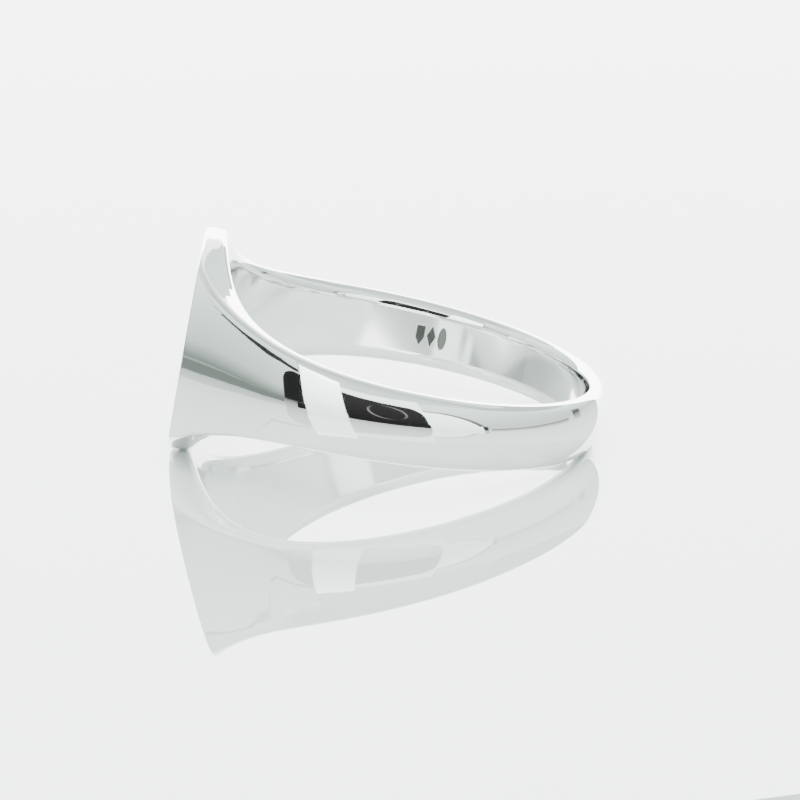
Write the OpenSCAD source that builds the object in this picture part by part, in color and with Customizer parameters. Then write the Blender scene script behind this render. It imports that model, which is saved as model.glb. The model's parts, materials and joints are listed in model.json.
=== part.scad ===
// Signet ring, lying on its side on a flat surface as it rests by itself.
// Millimetres, +Z up. The surface is z = 0 and the head points to -X.
// The ring is first built about its finger hole, in a frame of its own:
// u points to the table, v goes across the finger and w along the finger.
// An angle a is measured round the finger, from the middle of the table.

/* [Finger hole] */
// Diameter of the finger hole
bore_d = 19; // [16:0.1:22]
// Depth of the rounding of the hole's edges
comfort_r = 0.4; // [0.3:0.05:0.4]
// Length of that rounding along the finger
comfort_w = 0.75; // [0.4:0.05:0.75]

/* [Band] */
// Thickness of the band at the middle of its width
band_t = 1.2; // [1.2:0.05:1.8]
// Width of the band at the back of the finger
band_w = 3; // [2.8:0.1:4.4]
// Rise of the middle of the band's outside over its edges
crown = 0.5; // [0.1:0.05:0.5]
// Rounding of the outer edges
edge_r = 0.28; // [0.2:0.01:0.28]

/* [Head] */
// Thickness of metal from the hole to the table
head_t = 1.3; // [1.3:0.05:2.2]
// Length of the table along the finger
table_l = 11.4; // [9:0.1:14]
// Width of the table across the finger
table_w = 10; // [8:0.1:12]
// Squareness of the sides of the table, where 2 is an ellipse
table_power = 2.2; // [2:0.1:4]
// Angle round the finger at which half of the flare is gone
flare_angle = 28; // [22:0.5:32]
// Steepness of the flare
flare_power = 2.1; // [2:0.1:3]

/* [Construction] */
// Thickness of the seal plate that carries the table
plate_t = 0.8; // [0.6:0.05:1]
// Thickness of a soldered joint
solder_t = 0.1; // [0.05:0.01:0.2]
// Angle round the finger at which the shank meets the shoulders
joint_angle = 75; // [60:5:90]

/* [Hallmark] */
// Height of a blank punch mark, along the finger
mark_h = 1.2; // [0.6:0.1:1.2]
// Depth of a punch mark
mark_depth = 0.1; // [0.05:0.01:0.15]
// Distance between the marks
mark_pitch = 0.6; // [0.6:0.05:1]
// Angle round the finger of the middle mark
mark_angle = 102; // [95:1:130]

/* [Hidden] */

silver = "gainsboro";
solder = "silver";

bore_r = bore_d / 2;
outer_r = bore_r + band_t;
table_h = bore_r + head_t;
plate_h = table_h - plate_t;
solder_angle = 2 * asin(solder_t / 2 / (bore_r + band_t / 2));
mark_step = mark_pitch / bore_r * 180 / PI;

// Length of the curve that bounds the table's sides, over the table's length.
table_reach = 1.01;
// How far the swept solid goes inside the hole before the hole is cut.
bore_sink = 0.1;
// Where the rounding of the hole's edges starts, as an angle on its arc, and its slope there.
comfort_start = 25;
comfort_slope = comfort_r / comfort_w * tan(comfort_start);

// Steps of the sweep: over half the table, along a shoulder and round the shank.
table_steps = 8;
shoulder_steps = 16;
shank_steps = 46;

// Angle from the middle of the table, the short way round.
function turn(a) = abs(a) > 180 ? 360 - abs(a) : abs(a);

// 1 at the middle of the table, falling to 0 towards the back of the finger.
function flare(a) = 1 / (1 + pow(turn(a) / flare_angle, flare_power));

// Half the width of the ring along the finger.
function half_w(a) = (band_w + (table_l - band_w) * flare(a)) / 2;

// Half the width of the table across the finger, at w along the finger.
function table_v(w) =
    table_w / 2 * pow(max(0, 1 - pow(2 * abs(w) / (table_l * table_reach), table_power)), 1 / table_power);

// Radius of the shoulder's outside: a flat from the table's edge that runs onto the band's circle.
function shoulder_r(a, w) =
    let (v = table_v(w), corner = norm([table_h, v]), touch = atan2(v, table_h) + acos(min(1, outer_r / corner)))
    turn(a) < touch ? outer_r / cos(touch - turn(a)) : outer_r;

// Radius of the outside before its edges are rounded.
function outside_r(a, w) = min(turn(a) < 60 ? table_h / cos(a) : shoulder_r(a, w), shoulder_r(a, w));

// Share of the crown at a point: none on the table, all of it from the shank's joints on.
function crown_share(a, w) =
    let (e = atan2(table_v(w), table_h), x = min(1, max(0, (turn(a) - e) / (joint_angle - e))))
    1 - pow(1 - x, 2);

// Outline of half a cross-section, from the hole to the middle of the outside.
// Each row is [fraction of the half width, kind, angle on its rounding].
rows = concat(
    [[1, "sink", 0]],
    [for (t = [comfort_start, 50, 68, 80, 90]) [1, "comfort", t]],
    [for (t = [90, 65, 40, 18]) [1, "edge", t]],
    [for (s = [1, 0.8, 0.6, 0.4, 0.2, 0]) [s, "outside", 0]]
);

function row_w(row, b) =
    row[1] == "sink" ? b - comfort_w * (1 - sin(comfort_start))
        - (bore_sink + comfort_r * (1 - cos(comfort_start))) / comfort_slope
    : row[1] == "comfort" ? b - comfort_w * (1 - sin(row[2]))
    : row[1] == "edge" ? b - edge_r * (1 - sin(row[2]))
    : row[0] * (b - edge_r);

// Angle of the table's side edge on a row. Rows near the hole follow the outermost row.
function edge_angle(row, a = 20, n = 30) =
    let (w = row[1] == "edge" || row[1] == "outside" ? row_w(row, half_w(a)) : half_w(a))
    n == 0 ? a : edge_angle(row, (a + atan2(table_v(w), table_h)) / 2, n - 1);

function row_r(row, a, w) =
    row[1] == "sink" ? bore_r - bore_sink
    : row[1] == "comfort" ? bore_r + comfort_r * (1 - cos(row[2]))
    : outside_r(a, w) - crown * crown_share(a, w) * pow(w / half_w(a), 2)
        - (row[1] == "edge" ? edge_r * (1 - cos(row[2])) : 0);

function row_point(row, a, side) =
    let (w = row_w(row, half_w(a)), r = row_r(row, a, w)) [r * cos(a), r * sin(a), side * w];

// A closed cross-section at the place p of a sweep, as p is turned into an angle for each row.
function section(p, headed) = concat(
    [for (row = rows) row_point(row, sweep_angle(row, p, headed), 1)],
    [for (i = [len(rows) - 2:-1:0]) row_point(rows[i], sweep_angle(rows[i], p, headed), -1)]
);

// On the head p counts steps, and one line of the mesh follows the table's edge.
// Elsewhere p is the angle itself.
function sweep_angle(row, p, headed) =
    !headed ? p
    : let (e = edge_angle(row), n = abs(p))
      sign(p) * (n <= table_steps ? e * n / table_steps
          : e + (joint_angle - solder_angle / 2 - e) * (n - table_steps) / shoulder_steps);

head_rings = [for (p = [-table_steps - shoulder_steps:table_steps + shoulder_steps]) section(p, true)];
shank_start = joint_angle + solder_angle / 2;
shank_rings = [for (i = [0:shank_steps]) section(shank_start + (360 - 2 * shank_start) * i / shank_steps, false)];

// The ring rests on the lower edge of its head and on the lower edge of its shank.
function height(q, t) = q.x * sin(t) + q.z * cos(t);
function lowest(rings, t) = min([for (ring = rings, q = ring) height(q, t)]);
function rest_lean(lo = 0, hi = 45, n = 24) =
    let (mid = (lo + hi) / 2)
    n == 0 ? mid
    : lowest(head_rings, mid) < lowest(shank_rings, mid) ? rest_lean(mid, hi, n - 1)
    : rest_lean(lo, mid, n - 1);

lean = rest_lean();
lift = -lowest(head_rings, lean);
all_x = [for (rings = [head_rings, shank_rings], ring = rings, q = ring) q.z * sin(lean) - q.x * cos(lean)];
shift = -(min(all_x) + max(all_x)) / 2;

// Puts a piece of the ring's own frame into its resting place.
module at_rest() {
    translate([shift, 0, lift]) rotate([0, lean, 0]) rotate([0, 0, 180]) children();
}

// Closed solid through a list of cross-sections. Its end faces start at the middle
// of the outside, the point that sees the whole cross-section.
module sweep(rings) {
    n = len(rings[0]);
    last = len(rings) - 1;
    crest = len(rows) - 1;
    polyhedron(
        points = [for (ring = rings, q = ring) q],
        faces = concat(
            [[for (k = [0:n - 1]) (crest + n - k) % n]],
            [[for (k = [0:n - 1]) last * n + (crest + k) % n]],
            [for (i = [0:last - 1], k = [0:n - 1]) [i * n + k, i * n + (k + 1) % n, (i + 1) * n + k]],
            [for (i = [0:last - 1], k = [0:n - 1])
                [i * n + (k + 1) % n, (i + 1) * n + (k + 1) % n, (i + 1) * n + k]]
        )
    );
}

// True cylinder of the finger hole.
module finger_hole() {
    cylinder(r = bore_r, h = 2 * table_l, center = true, $fn = 180);
}

// Everything between two heights above the hole's axis.
module slab(from, to) {
    translate([from, -outer_r, -table_l]) cube([to - from, 2 * outer_r, 2 * table_l]);
}

// Head and shoulders before the seal plate is parted from them.
module head_blank() {
    sweep(head_rings);
}

// A soldered joint between a shoulder and the shank.
module shank_joint(side) {
    difference() {
        sweep([for (t = [-1, 1]) section(side * joint_angle + t * solder_angle / 2, false)]);
        finger_hole();
    }
}

// Blank punch marks on the wall of the hole: an oval, a lozenge and a shield.
module punch_marks() {
    w = mark_h / 2;
    outlines = [
        [for (t = [0:30:330]) [0.38 * w * sin(t), w * cos(t)]],
        [[0, w], [0.42 * w, 0], [0, -w], [-0.42 * w, 0]],
        [[-0.38 * w, 0.8 * w], [0.38 * w, 0.8 * w], [0.38 * w, -0.3 * w], [0, -w], [-0.38 * w, -0.3 * w]]
    ];
    for (i = [0:2])
        rotate([0, 0, -mark_angle + (i - 1) * mark_step])
            translate([bore_r - mark_depth, 0, 0])
                rotate([90, 0, 90]) linear_extrude(2 * mark_depth) polygon(outlines[i]);
}

module seal_plate() {
    color(silver) at_rest() intersection() {
        head_blank();
        slab(plate_h, 2 * table_h);
    }
}

module head() {
    color(silver) at_rest() difference() {
        head_blank();
        slab(plate_h - solder_t, 2 * table_h);
        finger_hole();
    }
}

module shank() {
    color(silver) at_rest() difference() {
        sweep(shank_rings);
        finger_hole();
        punch_marks();
    }
}

module plate_solder() {
    color(solder) at_rest() intersection() {
        head_blank();
        slab(plate_h - solder_t, plate_h);
    }
}

module near_shank_solder() {
    color(solder) at_rest() shank_joint(1);
}

module far_shank_solder() {
    color(solder) at_rest() shank_joint(-1);
}

seal_plate();
head();
shank();
plate_solder();
near_shank_solder();
far_shank_solder();
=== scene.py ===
"""Polished silver signet ring lying on its side on a glossy white table.

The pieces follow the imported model: the finger hole's centre, axis and radius and the table's
height come from its mounts. Lengths are millimetres until a mesh is made, angles are degrees.
u points from the hole's axis to the table, v goes across the finger and w along the finger.
An angle a is measured round the finger, from the middle of the table.
"""

import json
import math

import bmesh
import bpy
import numpy as np
from mathutils import Matrix, Vector


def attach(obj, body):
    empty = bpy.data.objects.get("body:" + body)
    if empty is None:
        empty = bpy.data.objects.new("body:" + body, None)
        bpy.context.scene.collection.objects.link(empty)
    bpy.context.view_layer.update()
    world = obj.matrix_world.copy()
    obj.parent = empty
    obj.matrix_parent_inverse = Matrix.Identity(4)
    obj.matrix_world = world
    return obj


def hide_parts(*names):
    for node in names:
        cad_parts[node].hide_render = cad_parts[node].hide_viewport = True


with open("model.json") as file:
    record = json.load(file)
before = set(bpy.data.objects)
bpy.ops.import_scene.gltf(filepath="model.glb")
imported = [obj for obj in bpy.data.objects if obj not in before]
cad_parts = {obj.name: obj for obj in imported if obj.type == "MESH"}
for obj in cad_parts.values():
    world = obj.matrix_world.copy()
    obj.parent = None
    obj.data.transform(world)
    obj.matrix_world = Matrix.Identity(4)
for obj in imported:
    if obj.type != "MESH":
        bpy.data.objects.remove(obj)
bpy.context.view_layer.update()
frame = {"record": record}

MM = 0.001
MOUNTS = {m["name"]: m for m in frame["record"]["mounts"]}
CENTRE = Vector(MOUNTS["finger_bore"]["pos_m"])
AXIS_W = Vector(MOUNTS["finger_bore"]["axis"]).normalized()
AXIS_U = Vector(MOUNTS["seal_face"]["axis"]).normalized()
AXIS_V = AXIS_W.cross(AXIS_U)

# Sizes of the ring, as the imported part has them.
BORE_R = MOUNTS["finger_bore"]["dims"]["r_mm"]
TABLE_H = (Vector(MOUNTS["seal_face"]["pos_m"]) - CENTRE).dot(AXIS_U) / MM
BAND_T = 1.2
BAND_W = 3.0
CROWN = 0.5
COMFORT_R = 0.4
COMFORT_W = 0.75
EDGE_R = 0.28
TABLE_L = 11.4
TABLE_W = 10.0
TABLE_POWER = 2.2
TABLE_REACH = 1.01
FLARE_ANGLE = 28.0
FLARE_POWER = 2.1
PLATE_T = 0.8
SOLDER_T = 0.1
JOINT_ANGLE = 75.0
OUTER_R = BORE_R + BAND_T
PLATE_H = TABLE_H - PLATE_T
SOLDER_ANGLE = math.degrees(2 * math.asin(SOLDER_T / 2 / (BORE_R + BAND_T / 2)))

# Blank punch marks inside the far side of the shank.
MARK_ANGLE = -102.0
MARK_H = 1.2
MARK_DEPTH = 0.1
MARK_PITCH = 0.6
# Width of a mark over its height.
MARK_SLIMNESS = 0.38

# Softness of the table's side edges.
TABLE_EDGE = 0.035

# How far past the end of a piece its spare ring lies, for the slope of the surface there.
SPARE_ANGLE = 0.5


# ---------------------------------------------------------------- shape of the ring


def turn(a):
    """Angle from the middle of the table, the short way round."""
    return np.minimum(np.abs(a), 360 - np.abs(a))


def flare(a):
    """1 at the middle of the table, falling to 0 towards the back of the finger."""
    return 1 / (1 + (turn(a) / FLARE_ANGLE) ** FLARE_POWER)


def half_w(a):
    """Half the width of the ring along the finger."""
    return (BAND_W + (TABLE_L - BAND_W) * flare(a)) / 2


def table_v(w):
    """Half the width of the table across the finger, at w along the finger."""
    inside = np.maximum(0, 1 - (2 * np.abs(w) / (TABLE_L * TABLE_REACH)) ** TABLE_POWER)
    return TABLE_W / 2 * inside ** (1 / TABLE_POWER)


def shoulder_r(a, w):
    """Radius of the shoulder's outside: a flat from the table's edge onto the band's circle."""
    v = table_v(w)
    corner = np.hypot(TABLE_H, v)
    touch = np.degrees(np.arctan2(v, TABLE_H) + np.arccos(np.minimum(1, OUTER_R / corner)))
    return OUTER_R / np.cos(np.radians(np.maximum(0, touch - turn(a))))


def outside_r(a, w):
    """Radius of the outside, with the table's side edges softened."""
    past_table = 60
    table = TABLE_H / np.cos(np.radians(np.minimum(turn(a), past_table)))
    return -TABLE_EDGE * np.logaddexp(-shoulder_r(a, w) / TABLE_EDGE, -table / TABLE_EDGE)


def crown_share(a, w):
    """Share of the crown at a point: none on the table, all of it from the shank's joints on."""
    edge = np.degrees(np.arctan2(table_v(w), TABLE_H))
    past = np.clip((turn(a) - edge) / (JOINT_ANGLE - edge), 0, 1)
    return 1 - (1 - past) ** 2


# A row is a line round the finger. It is [kind, value, side]: the value is a fraction of the
# half width, or an angle on a rounding, or a fraction of the height of the ring's side.
BORE, COMFORT, SIDE, EDGE, OUTSIDE = range(5)


def make_rows(bore_values, outside_steps, rounding_steps=10):
    """Rows of a whole cross-section, once round from the middle of the hole's wall."""
    half = [(BORE, t) for t in bore_values]
    half += [(COMFORT, 90 * (i + 1) / rounding_steps) for i in range(rounding_steps)]
    half += [(SIDE, 0.33), (SIDE, 0.67)]
    half += [(EDGE, 90 - 90 * i / rounding_steps) for i in range(rounding_steps)]
    half += [(OUTSIDE, 1 - i / outside_steps) for i in range(outside_steps)]
    rows = [(BORE, 0.0, 1)] + [(k, t, 1) for k, t in half]
    rows += [(OUTSIDE, 0.0, 1)] + [(k, t, -1) for k, t in reversed(half)]
    return np.array(rows, float).T


def row_w(kind, value, b):
    arc = np.sin(np.radians(value))
    return np.select(
        [kind == BORE, kind == COMFORT, kind == SIDE, kind == EDGE],
        [value * (b - COMFORT_W), b - COMFORT_W * (1 - arc), b, b - EDGE_R * (1 - arc)],
        value * (b - EDGE_R),
    )


def row_r(kind, value, a, w, b):
    arc = 1 - np.cos(np.radians(value))
    outside = outside_r(a, w) - CROWN * crown_share(a, w) * (w / b) ** 2
    side_from, side_to = BORE_R + COMFORT_R, outside - EDGE_R
    return np.select(
        [kind == BORE, kind == COMFORT, kind == SIDE, kind == EDGE],
        [
            np.full_like(w, BORE_R),
            BORE_R + COMFORT_R * arc,
            side_from + (side_to - side_from) * value,
            outside - EDGE_R * arc,
        ],
        outside,
    )


def edge_angles(kind, value):
    """Angle of the table's side edge on each row. Rows near the hole follow the outermost one."""
    first_guess, passes = 20.0, 40
    a = np.full_like(value, first_guess)
    for _ in range(passes):
        b = half_w(a)
        w = np.where(kind >= EDGE, row_w(kind, value, b), b)
        a = (a + np.degrees(np.arctan2(table_v(w), TABLE_H))) / 2
    return a


def punch_depth(a, w):
    """Depth of the three blank punch marks: an oval, a lozenge and a shield."""
    across = np.radians(a - MARK_ANGLE) * BORE_R
    h = MARK_H / 2
    soft_edge, lozenge_width, shield_top, shield_taper = 0.05, 1.1, 0.8, 0.7
    depth = np.zeros_like(w)
    for i, shape in enumerate(("oval", "lozenge", "shield")):
        x = np.abs(across - (i - 1) * MARK_PITCH) / (MARK_SLIMNESS * h)
        y = w / h
        if shape == "oval":
            outline = np.hypot(x, y)
        elif shape == "lozenge":
            outline = x / lozenge_width + np.abs(y)
        else:
            outline = np.maximum(np.maximum(x, y / shield_top), x * shield_taper - y)
        depth = np.maximum(depth, np.clip((1 - outline) / soft_edge + 0.5, 0, 1))
    return MARK_DEPTH * depth * depth * (3 - 2 * depth)


def surface(angles, rows, marked=False):
    """Points of the ring at angles[ring, row], in millimetres along u, v and w."""
    kind, value, side = rows
    b = half_w(angles)
    kind, value = np.broadcast_to(kind, b.shape), np.broadcast_to(value, b.shape)
    w = row_w(kind, value, b)
    r = row_r(kind, value, angles, w, b)
    if marked:
        r = r + np.where(kind == BORE, punch_depth(angles, w * side), 0)
    t = np.radians(angles)
    return np.stack([r * np.cos(t), r * np.sin(t), w * side], -1)


def tangent(before, here, after):
    """Slope of a curve at its middle one of three points, for uneven steps."""
    one, two = after - here, here - before
    long_one = np.linalg.norm(one, axis=-1, keepdims=True) + 1e-12
    long_two = np.linalg.norm(two, axis=-1, keepdims=True) + 1e-12
    return one * long_two / long_one + two * long_one / long_two


def surface_normals(points):
    """Normals of a grid whose first and last rings are spare ones."""
    along = tangent(points[:-2], points[1:-1], points[2:])
    here = points[1:-1]
    across = tangent(np.roll(here, 1, 1), here, np.roll(here, -1, 1))
    n = np.cross(along, across)
    n /= np.linalg.norm(n, axis=-1, keepdims=True)
    crest = here.shape[1] // 2
    outward = np.einsum("ij,ij->i", n[:, crest], here[:, crest])
    return n * np.sign(outward.mean())


# ---------------------------------------------------------------- meshes


def build_blank(angles, rows, marked=False):
    """Closed bmesh of a stretch of the ring. angles has a spare ring at each end."""
    points = surface(angles, rows, marked)
    normals = surface_normals(points)
    points = points[1:-1]
    rings, count = points.shape[:2]
    kind, value, side = rows
    b = half_w(angles[1:-1])
    across = side * row_w(*np.broadcast_arrays(kind, value, b))
    hole = np.tile(np.where(kind == BORE, 1.0, 0.0), rings)
    mark = np.where(kind == BORE, punch_depth(angles[1:-1], across) / MARK_DEPTH, 0.0).ravel()
    bm = bmesh.new()
    normal_layer = bm.verts.layers.float_vector.new("surface_normal")
    hole_layer = bm.verts.layers.float.new("hole")
    mark_layer = bm.verts.layers.float.new("mark")
    verts = []
    for point, normal, h, m in zip(points.reshape(-1, 3), normals.reshape(-1, 3), hole, mark):
        vert = bm.verts.new(point)
        vert[normal_layer] = normal
        vert[hole_layer] = h
        vert[mark_layer] = m if marked else 0.0
        verts.append(vert)
    for i in range(rings - 1):
        for k in range(count):
            k2 = (k + 1) % count
            corners = [i * count + k, i * count + k2, (i + 1) * count + k2, (i + 1) * count + k]
            bm.faces.new([verts[c] for c in corners]).smooth = True
    for ring in (verts[:count], verts[-count:]):
        bm.faces.new(ring).smooth = False
    bmesh.ops.recalc_face_normals(bm, faces=bm.faces)
    return bm


def keep_slab(bm, low=None, high=None):
    """Keeps what lies between two heights along u, and closes the cuts with flat faces."""
    for height, side in ((low, -1), (high, 1)):
        if height is None:
            continue
        cut = bmesh.ops.bisect_plane(
            bm,
            geom=bm.verts[:] + bm.edges[:] + bm.faces[:],
            plane_co=(height, 0, 0),
            plane_no=(side, 0, 0),
            clear_outer=True,
            dist=1e-6,
        )
        edges = [e for e in cut["geom_cut"] if isinstance(e, bmesh.types.BMEdge)]
        for face in bmesh.ops.edgeloop_fill(bm, edges=edges)["faces"]:
            face.smooth = False
    bmesh.ops.recalc_face_normals(bm, faces=bm.faces)
    return bm


def finish_piece(name, bm, material, node):
    """Turns a bmesh in the ring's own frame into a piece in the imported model's frame."""
    to_frame = Matrix((AXIS_U, AXIS_V, AXIS_W)).transposed()
    normal_layer = bm.verts.layers.float_vector["surface_normal"]
    bm.normal_update()
    normals = []
    for face in bm.faces:
        for loop in face.loops:
            n = loop.vert[normal_layer] if face.smooth else face.normal
            normals.append((to_frame @ Vector(n)).normalized())
    for vert in bm.verts:
        vert.co = CENTRE + to_frame @ (vert.co * MM)
    mesh = bpy.data.meshes.new(name)
    bm.to_mesh(mesh)
    bm.free()
    mesh.attributes.remove(mesh.attributes["surface_normal"])
    mesh.normals_split_custom_set(normals)
    mesh.materials.append(material)
    piece = bpy.data.objects.new(name, mesh)
    bpy.context.scene.collection.objects.link(piece)
    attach(piece, "root")
    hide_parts(node)
    return piece


def graded(length, first=0.08, growth=1.2, largest=1.0):
    """Distances from 0 to length, in steps that grow from the first one."""
    out, step = [0.0], first
    while out[-1] + step < length:
        out.append(out[-1] + step)
        step = min(largest, step * growth)
    out[-1] = length
    return np.array(out)


def head_angles(rows):
    """Angles over the table and both shoulders. One line of the mesh follows the table's edge."""
    kind, value, _ = rows
    edge = edge_angles(kind, value)
    end = JOINT_ANGLE - SOLDER_ANGLE / 2
    widest = edge.max()
    table = 1 - graded(widest)[::-1] / widest
    shoulder = graded(end - widest)[1:] / (end - widest)
    half = [edge * t for t in table]
    half += [edge + (end - edge) * t for t in shoulder]
    half.append(np.full_like(edge, end + SPARE_ANGLE))
    half = np.array(half)
    return np.concatenate([-half[:0:-1], half])


def shank_angles(rows):
    """Angles round the shank, closer together at the punch marks."""
    spacing, mark_steps, last_steps = 1.0, 150, 16
    start = JOINT_ANGLE + SOLDER_ANGLE / 2
    marks = 1.7 * math.degrees(MARK_PITCH / BORE_R)
    middle = 360 + MARK_ANGLE
    a = np.concatenate([
        np.arange(start, middle - marks, spacing),
        np.linspace(middle - marks, middle + marks, mark_steps)[:-1],
        np.linspace(middle + marks, 360 - start, last_steps),
    ])
    a = np.concatenate([[start - SPARE_ANGLE], a, [360 - start + SPARE_ANGLE]]) - 360
    return np.repeat(a[:, None], rows.shape[1], 1)


def joint_angles(rows, side):
    """Angles of the thin soldered joint between a shoulder and the shank."""
    steps = np.array([-1.5, -0.5, 0.0, 0.5, 1.5]) * SOLDER_ANGLE
    return np.repeat((side * JOINT_ANGLE + steps)[:, None], rows.shape[1], 1)


# ---------------------------------------------------------------- materials


def new_material(name):
    material = bpy.data.materials.new(name)
    material.use_nodes = True
    tree = material.node_tree
    return material, tree, tree.nodes["Principled BSDF"]


def attribute(tree, name):
    """A value that the mesh carries at each of its points."""
    node = tree.nodes.new("ShaderNodeAttribute")
    node.attribute_name = name
    return node.outputs["Fac"]


def noise(tree, place, scale, detail):
    node = tree.nodes.new("ShaderNodeTexNoise")
    node.inputs["Scale"].default_value = scale
    node.inputs["Detail"].default_value = detail
    tree.links.new(place, node.inputs["Vector"])
    return node.outputs["Fac"]


def between(tree, source, low, high):
    """Maps a value from the range 0 to 1 onto the range low to high."""
    node = tree.nodes.new("ShaderNodeMapRange")
    node.inputs["To Min"].default_value = low
    node.inputs["To Max"].default_value = high
    tree.links.new(source, node.inputs["Value"])
    return node.outputs["Result"]


def silver(name, color):
    """Mirror-polished silver with faint polishing marks.

    The wall of the finger hole is a little duller, and the punch marks in it are dark.
    """
    dark = (0.12, 0.12, 0.115)
    material, tree, shader = new_material(name)
    nodes, links = tree.nodes, tree.links
    shader.inputs["Metallic"].default_value = 1.0
    place = nodes.new("ShaderNodeTexCoord").outputs["Object"]

    metal = nodes.new("ShaderNodeMix")
    metal.data_type = "RGBA"
    metal.inputs["A"].default_value = (*color, 1)
    metal.inputs["B"].default_value = (*dark, 1)
    links.new(attribute(tree, "mark"), metal.inputs["Factor"])
    links.new(metal.outputs["Result"], shader.inputs["Base Color"])

    smudge = noise(tree, place, scale=500, detail=4)
    rough = nodes.new("ShaderNodeMix")
    links.new(attribute(tree, "hole"), rough.inputs["Factor"])
    links.new(between(tree, smudge, 0.02, 0.05), rough.inputs["A"])
    links.new(between(tree, smudge, 0.08, 0.14), rough.inputs["B"])
    links.new(rough.outputs["Result"], shader.inputs["Roughness"])

    bump = nodes.new("ShaderNodeBump")
    bump.inputs["Strength"].default_value = 0.005
    bump.inputs["Distance"].default_value = 0.0003
    links.new(noise(tree, place, scale=900, detail=2), bump.inputs["Height"])
    links.new(bump.outputs["Normal"], shader.inputs["Normal"])
    return material


def glossy_table():
    """White acrylic: a pale body under a clear, strongly reflecting surface."""
    material, tree, shader = new_material("white_acrylic")
    shader.inputs["Base Color"].default_value = (0.84, 0.88, 0.87, 1)
    shader.inputs["Metallic"].default_value = 0.1
    shader.inputs["Roughness"].default_value = 0.015
    shader.inputs["IOR"].default_value = 2.2
    return material


# ---------------------------------------------------------------- pieces


def build_ring():
    polished = silver("polished_silver", (0.93, 0.93, 0.92))
    soldered = silver("polished_solder", (0.92, 0.92, 0.905))

    head_rows = make_rows(np.linspace(0, 1, 17)[1:], 32)
    angles = head_angles(head_rows)
    plate = keep_slab(build_blank(angles, head_rows), low=PLATE_H)
    finish_piece("seal_plate_metal", plate, polished, "seal_plate")
    film = keep_slab(build_blank(angles, head_rows), low=PLATE_H - SOLDER_T, high=PLATE_H)
    finish_piece("plate_solder_line", film, soldered, "plate_solder")
    head = keep_slab(build_blank(angles, head_rows), high=PLATE_H - SOLDER_T)
    finish_piece("head_metal", head, polished, "head")

    mark_zone = MARK_H / (half_w(MARK_ANGLE) - COMFORT_W) / 2 * 1.2
    fine = np.concatenate([np.linspace(0, mark_zone, 30)[1:], np.linspace(mark_zone, 1, 9)[1:]])
    shank_rows = make_rows(fine, 24)
    shank = build_blank(shank_angles(shank_rows), shank_rows, marked=True)
    finish_piece("shank_metal", shank, polished, "shank")
    for side, name in ((1, "near_shank_solder"), (-1, "far_shank_solder")):
        joint = build_blank(joint_angles(shank_rows, side), shank_rows)
        finish_piece(name + "_line", joint, soldered, name)


# ---------------------------------------------------------------- studio

# Distances of the cards from the ring, in metres, and their tints. A separate script traced
# the photograph's reflections back to azimuths and elevations. The cards were placed with its
# help, and then tuned by eye.
NEAR, LEFT_NEAR, FAR = 0.05, 0.075, 0.5
WHITE = (0.99, 1.0, 0.995)
GREENISH = (0.83, 1.0, 0.92)

# Rise of a foot over the ring's centre, in degrees as seen from a metre away.
FOOT_RISE = 0.03
# A foot stands much nearer than its card, so its azimuths are scaled to line up with it.
FOOT_SPREAD = 0.9

# Camera fitted by least squares to the ring's edges in the photograph: its angles, its distance
# in metres, its focal length and the place on the table it looks at.
CAMERA_ELEVATION, CAMERA_ROLL, CAMERA_TURN = 15.18, -1.14, -0.485
CAMERA_DISTANCE = 0.16215
CAMERA_LENS = 143.96
CAMERA_AIM = Vector((0.129, 0, 2.218)) * MM


def around(azimuth, elevation, distance):
    """A point round the ring. Azimuth 0 is the camera's side, -Y, and 90 is +X."""
    a, e = math.radians(azimuth), math.radians(elevation)
    way = Vector((math.sin(a) * math.cos(e), -math.cos(a) * math.cos(e), math.sin(e)))
    return CENTRE + way * distance


def softbox(name, azimuth, elevation, distance, size, power):
    """A soft lamp for the table's white body. The mirror surfaces see the cards instead."""
    light = bpy.data.lights.new(name, "AREA")
    light.size = size
    light.energy = power
    lamp = bpy.data.objects.new(name, light)
    bpy.context.scene.collection.objects.link(lamp)
    lamp.location = around(azimuth, elevation, distance)
    lamp.rotation_euler = (CENTRE - lamp.location).to_track_quat("-Z", "Y").to_euler()
    lamp.visible_camera = False
    lamp.visible_glossy = False


def card_material(name, tint):
    """Gives off its tint times the mesh's own glow."""
    material, tree, shader = new_material(name)
    shader.inputs["Base Color"].default_value = (0, 0, 0, 1)
    shader.inputs["Specular IOR Level"].default_value = 0
    shader.inputs["Emission Color"].default_value = (*tint, 1)
    tree.links.new(attribute(tree, "glow"), shader.inputs["Emission Strength"])
    return material


def finish_card(name, bm, tint):
    """Turns a bmesh into a card that only mirror surfaces see."""
    mesh = bpy.data.meshes.new(name)
    bm.to_mesh(mesh)
    bm.free()
    mesh.materials.append(card_material(name, tint))
    piece = bpy.data.objects.new(name, mesh)
    bpy.context.scene.collection.objects.link(piece)
    piece.visible_camera = False
    piece.visible_diffuse = False
    piece.visible_shadow = False


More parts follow.
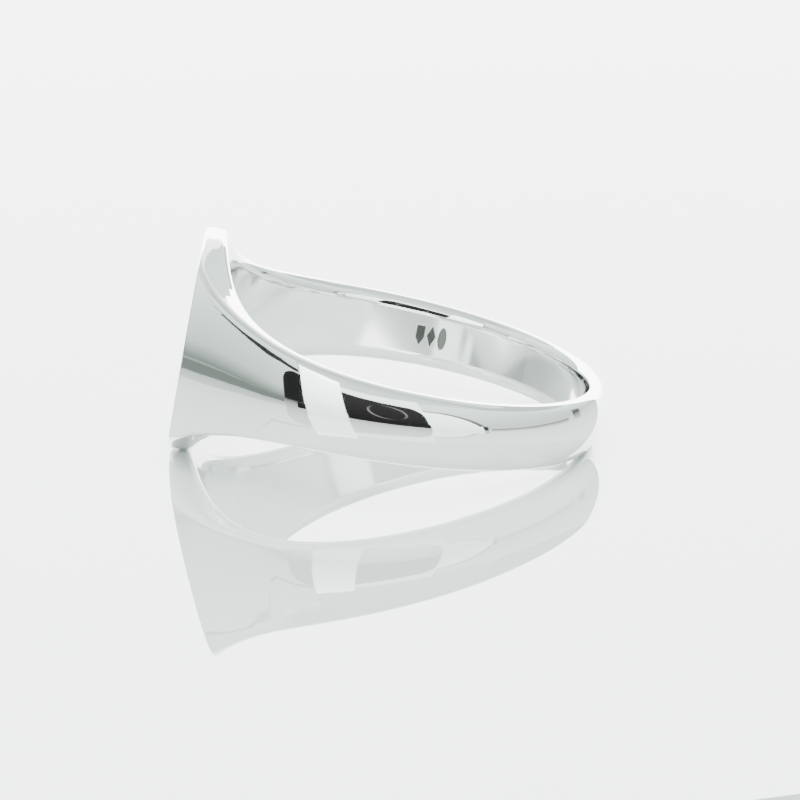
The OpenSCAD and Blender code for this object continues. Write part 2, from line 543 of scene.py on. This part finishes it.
def card(name, azimuths, elevations, glow, distance=FAR, corner=0.0, tint=WHITE, path=None):
    """A lit or dark patch of a sphere round the ring.

    glow runs from the patch's lower edge to its upper one. corner is the rounding of the upper
    right corner, or of the upper left one when it is negative, in degrees. path adds an
    elevation that changes with the azimuth. It holds the azimuths and their elevations.
    """
    columns, rows = 48, 12
    (left, right), (low, high) = azimuths, elevations
    r = abs(corner)
    bm = bmesh.new()
    glow_layer = bm.verts.layers.float.new("glow")
    grid = []
    for i in range(columns + 1):
        azimuth = left + (right - left) * i / columns
        past = max(0, azimuth - (right - r)) if corner > 0 else max(0, left + r - azimuth)
        top = high - r + math.sqrt(max(0, r * r - past * past))
        raised = float(np.interp(azimuth, *path)) if path else 0.0
        line = []
        for j in range(rows + 1):
            elevation = low + (top - low) * j / rows
            vert = bm.verts.new(around(azimuth, elevation + raised, distance))
            share = (elevation - low) / (high - low)
            vert[glow_layer] = glow[0] + (glow[1] - glow[0]) * share
            line.append(vert)
        grid.append(line)
    for one, two in zip(grid, grid[1:]):
        for j in range(rows):
            bm.faces.new([one[j], two[j], two[j + 1], one[j + 1]])
    finish_card(name, bm, tint)


def foot(name, azimuths, glow, tint=WHITE, distance=NEAR):
    """The strip of a card next to the table, near enough to be seen below the horizon."""
    low = -math.degrees(math.asin(CENTRE.z / distance))
    high = FOOT_RISE / distance
    nearer = [FOOT_SPREAD * a for a in azimuths]
    card(name, nearer, (low, high), (glow, glow), distance, tint=tint)


def lens_ring(azimuth, elevation, half_width, half_height, glow):
    """The thin bright rim of a lens in front of the dark stand."""
    steps, inner_size = 64, 0.88
    swing, phase = 0.45, 0.6
    bm = bmesh.new()
    glow_layer = bm.verts.layers.float.new("glow")
    loops = []
    for size in (inner_size, 1.0):
        loop = []
        for i in range(steps):
            t = 2 * math.pi * i / steps
            place = around(
                azimuth + half_width * size * math.cos(t),
                elevation + half_height * size * math.sin(t),
                FAR * 0.95,
            )
            vert = bm.verts.new(place)
            vert[glow_layer] = glow * (1 - swing + swing * math.sin(2 * t + phase))
            loop.append(vert)
        loops.append(loop)
    for i in range(steps):
        k = (i + 1) % steps
        bm.faces.new([loops[0][i], loops[1][i], loops[1][k], loops[0][k]])
    finish_card("card_lens_ring", bm, WHITE)


def build_back_cards():
    """The bright wall behind the ring and what hangs over it."""
    card("card_back_wall", (142, 218), (-1, 48), (10, 10.5))
    card("card_back_top", (150, 210), (48, 84), (5, 1.6))
    card("card_over_back", (90, 270), (46, 86), (2.1, 1.7), FAR * 1.02, tint=GREENISH)


def build_front_cards():
    """From left to right: a dark post, a white panel, the camera's dark stand, a white panel."""
    post, left_panel, stand, right_panel = (-61, -49), (-49, -25.5), (-25.5, 18.5), (16, 48)
    black = 0.03
    slope = (-26, 19), (0, -4)
    card("card_over_front", (-49, 60), (26, 75), (1.8, 1.3), FAR * 1.01, tint=GREENISH)
    card("card_front_top", left_panel, (30, 33), (7, 7))
    card("card_left_post", post, (-1, 23.5), (black, black), FAR * 0.97, corner=-12)
    foot("card_left_post_foot", (-54, -49), black)
    card("card_left_panel", left_panel, (-1, 30), (3.2, 6), FAR * 0.96, tint=GREENISH)
    foot("card_left_panel_foot", left_panel, 3.2, tint=GREENISH)
    card("card_camera_stand", stand, (-1, 24.3), (black, 0.06), FAR * 0.96, corner=9, path=slope)
    foot("card_camera_stand_foot", (-25.5, 18.8), black)
    lens_ring(azimuth=-2, elevation=10.6, half_width=11, half_height=9, glow=0.45)
    card("card_above_stand", (-25.5, 19), (-1, 29), (3.0, 3.6), FAR * 0.98, tint=GREENISH)
    card("card_right_panel", right_panel, (-8.5, 17.5), (2.9, 4.2), FAR * 0.97, corner=26, tint=GREENISH)
    foot("card_right_panel_foot", (18.8, 48), 3.2, tint=GREENISH)
    card("card_right_gap", (16, 51), (-8, 18.8), (0.08, 0.5), FAR * 0.98, corner=27)
    foot("card_right_gap_foot", (48, 51), 0.08)


def build_side_cards():
    """The dim room to the left and right, with a dark ledge, a skirting and a post."""
    # The ledge's first point is a guess. The others are what the tracing script gave for the
    # dark line that the ring's head mirrors, some of them rounded.
    ledge = (-180, -154, -89, -79, -71, -61, -49), (60, 54, 46, 25, 19.3, 23.3, 25.6)
    card("card_over_left", (-142, -50), (0, 30), (2.0, 1.5), tint=GREENISH, path=ledge)
    card("card_left_ledge", (-142, -76), (-0.35, 0.35), (0.05, 0.05), FAR * 0.98, path=ledge)
    card("card_left_ledge_front", (-76, -50), (-1.1, 0.9), (0.05, 0.05), FAR * 0.98, path=ledge)
    card("card_left_room", (-142, -50), (7, 48), (1.3, 2.6), tint=GREENISH)
    card("card_left_low", (-142, -50), (-1, 7), (0.3, 1.3), tint=GREENISH)
    foot("card_left_foot", (-104, -64), 0.33, tint=GREENISH, distance=LEFT_NEAR)
    card("card_right_room", (19, 142), (-1, 27), (1.35, 2.4), tint=GREENISH)
    card("card_right_skirting", (47, 98), (-4, -2.3), (0.3, 0.8), distance=NEAR)
    card("card_right_post", (112, 119), (-1, 5), (0.1, 0.5), FAR * 0.98)


def build_table():
    """The white table that the ring lies on."""
    half_side = 1.5
    bm = bmesh.new()
    bmesh.ops.create_grid(bm, x_segments=8, y_segments=8, size=half_side)
    mesh = bpy.data.meshes.new("table_top")
    bm.to_mesh(mesh)
    bm.free()
    mesh.materials.append(glossy_table())
    table = bpy.data.objects.new("table_top", mesh)
    bpy.context.scene.collection.objects.link(table)


def build_world():
    world = bpy.data.worlds.new("studio")
    bpy.context.scene.world = world
    world.use_nodes = True
    back = world.node_tree.nodes["Background"]
    back.inputs["Color"].default_value = (*GREENISH, 1)
    back.inputs["Strength"].default_value = 1.25


def build_camera():
    """The photograph's view: a long lens, a little above the ring and close to it."""
    elevation, roll = math.radians(CAMERA_ELEVATION), math.radians(CAMERA_ROLL)
    to_side = Matrix.Rotation(math.radians(CAMERA_TURN), 3, "Z")
    forward = to_side @ Vector((0, math.cos(elevation), -math.sin(elevation)))
    level = to_side @ Vector((1, 0, 0))
    rise = level.cross(forward)
    right = math.cos(roll) * level + math.sin(roll) * rise
    up = math.cos(roll) * rise - math.sin(roll) * level
    camera = bpy.data.cameras.new("camera")
    camera.sensor_width = 36
    camera.lens = CAMERA_LENS
    camera.clip_start = 0.01
    camera.clip_end = 10
    view = bpy.data.objects.new("camera", camera)
    bpy.context.scene.collection.objects.link(view)
    place = Vector((CENTRE.x, 0, 0)) + to_side @ CAMERA_AIM - forward * CAMERA_DISTANCE
    axes = Matrix((right, up, -forward)).transposed()
    view.matrix_world = Matrix.Translation(place) @ axes.to_4x4()
    bpy.context.scene.camera = view


build_camera()
build_ring()
build_table()
build_world()
build_back_cards()
build_front_cards()
build_side_cards()
softbox("top_softbox", azimuth=0, elevation=80, distance=0.6, size=0.7, power=8.5)
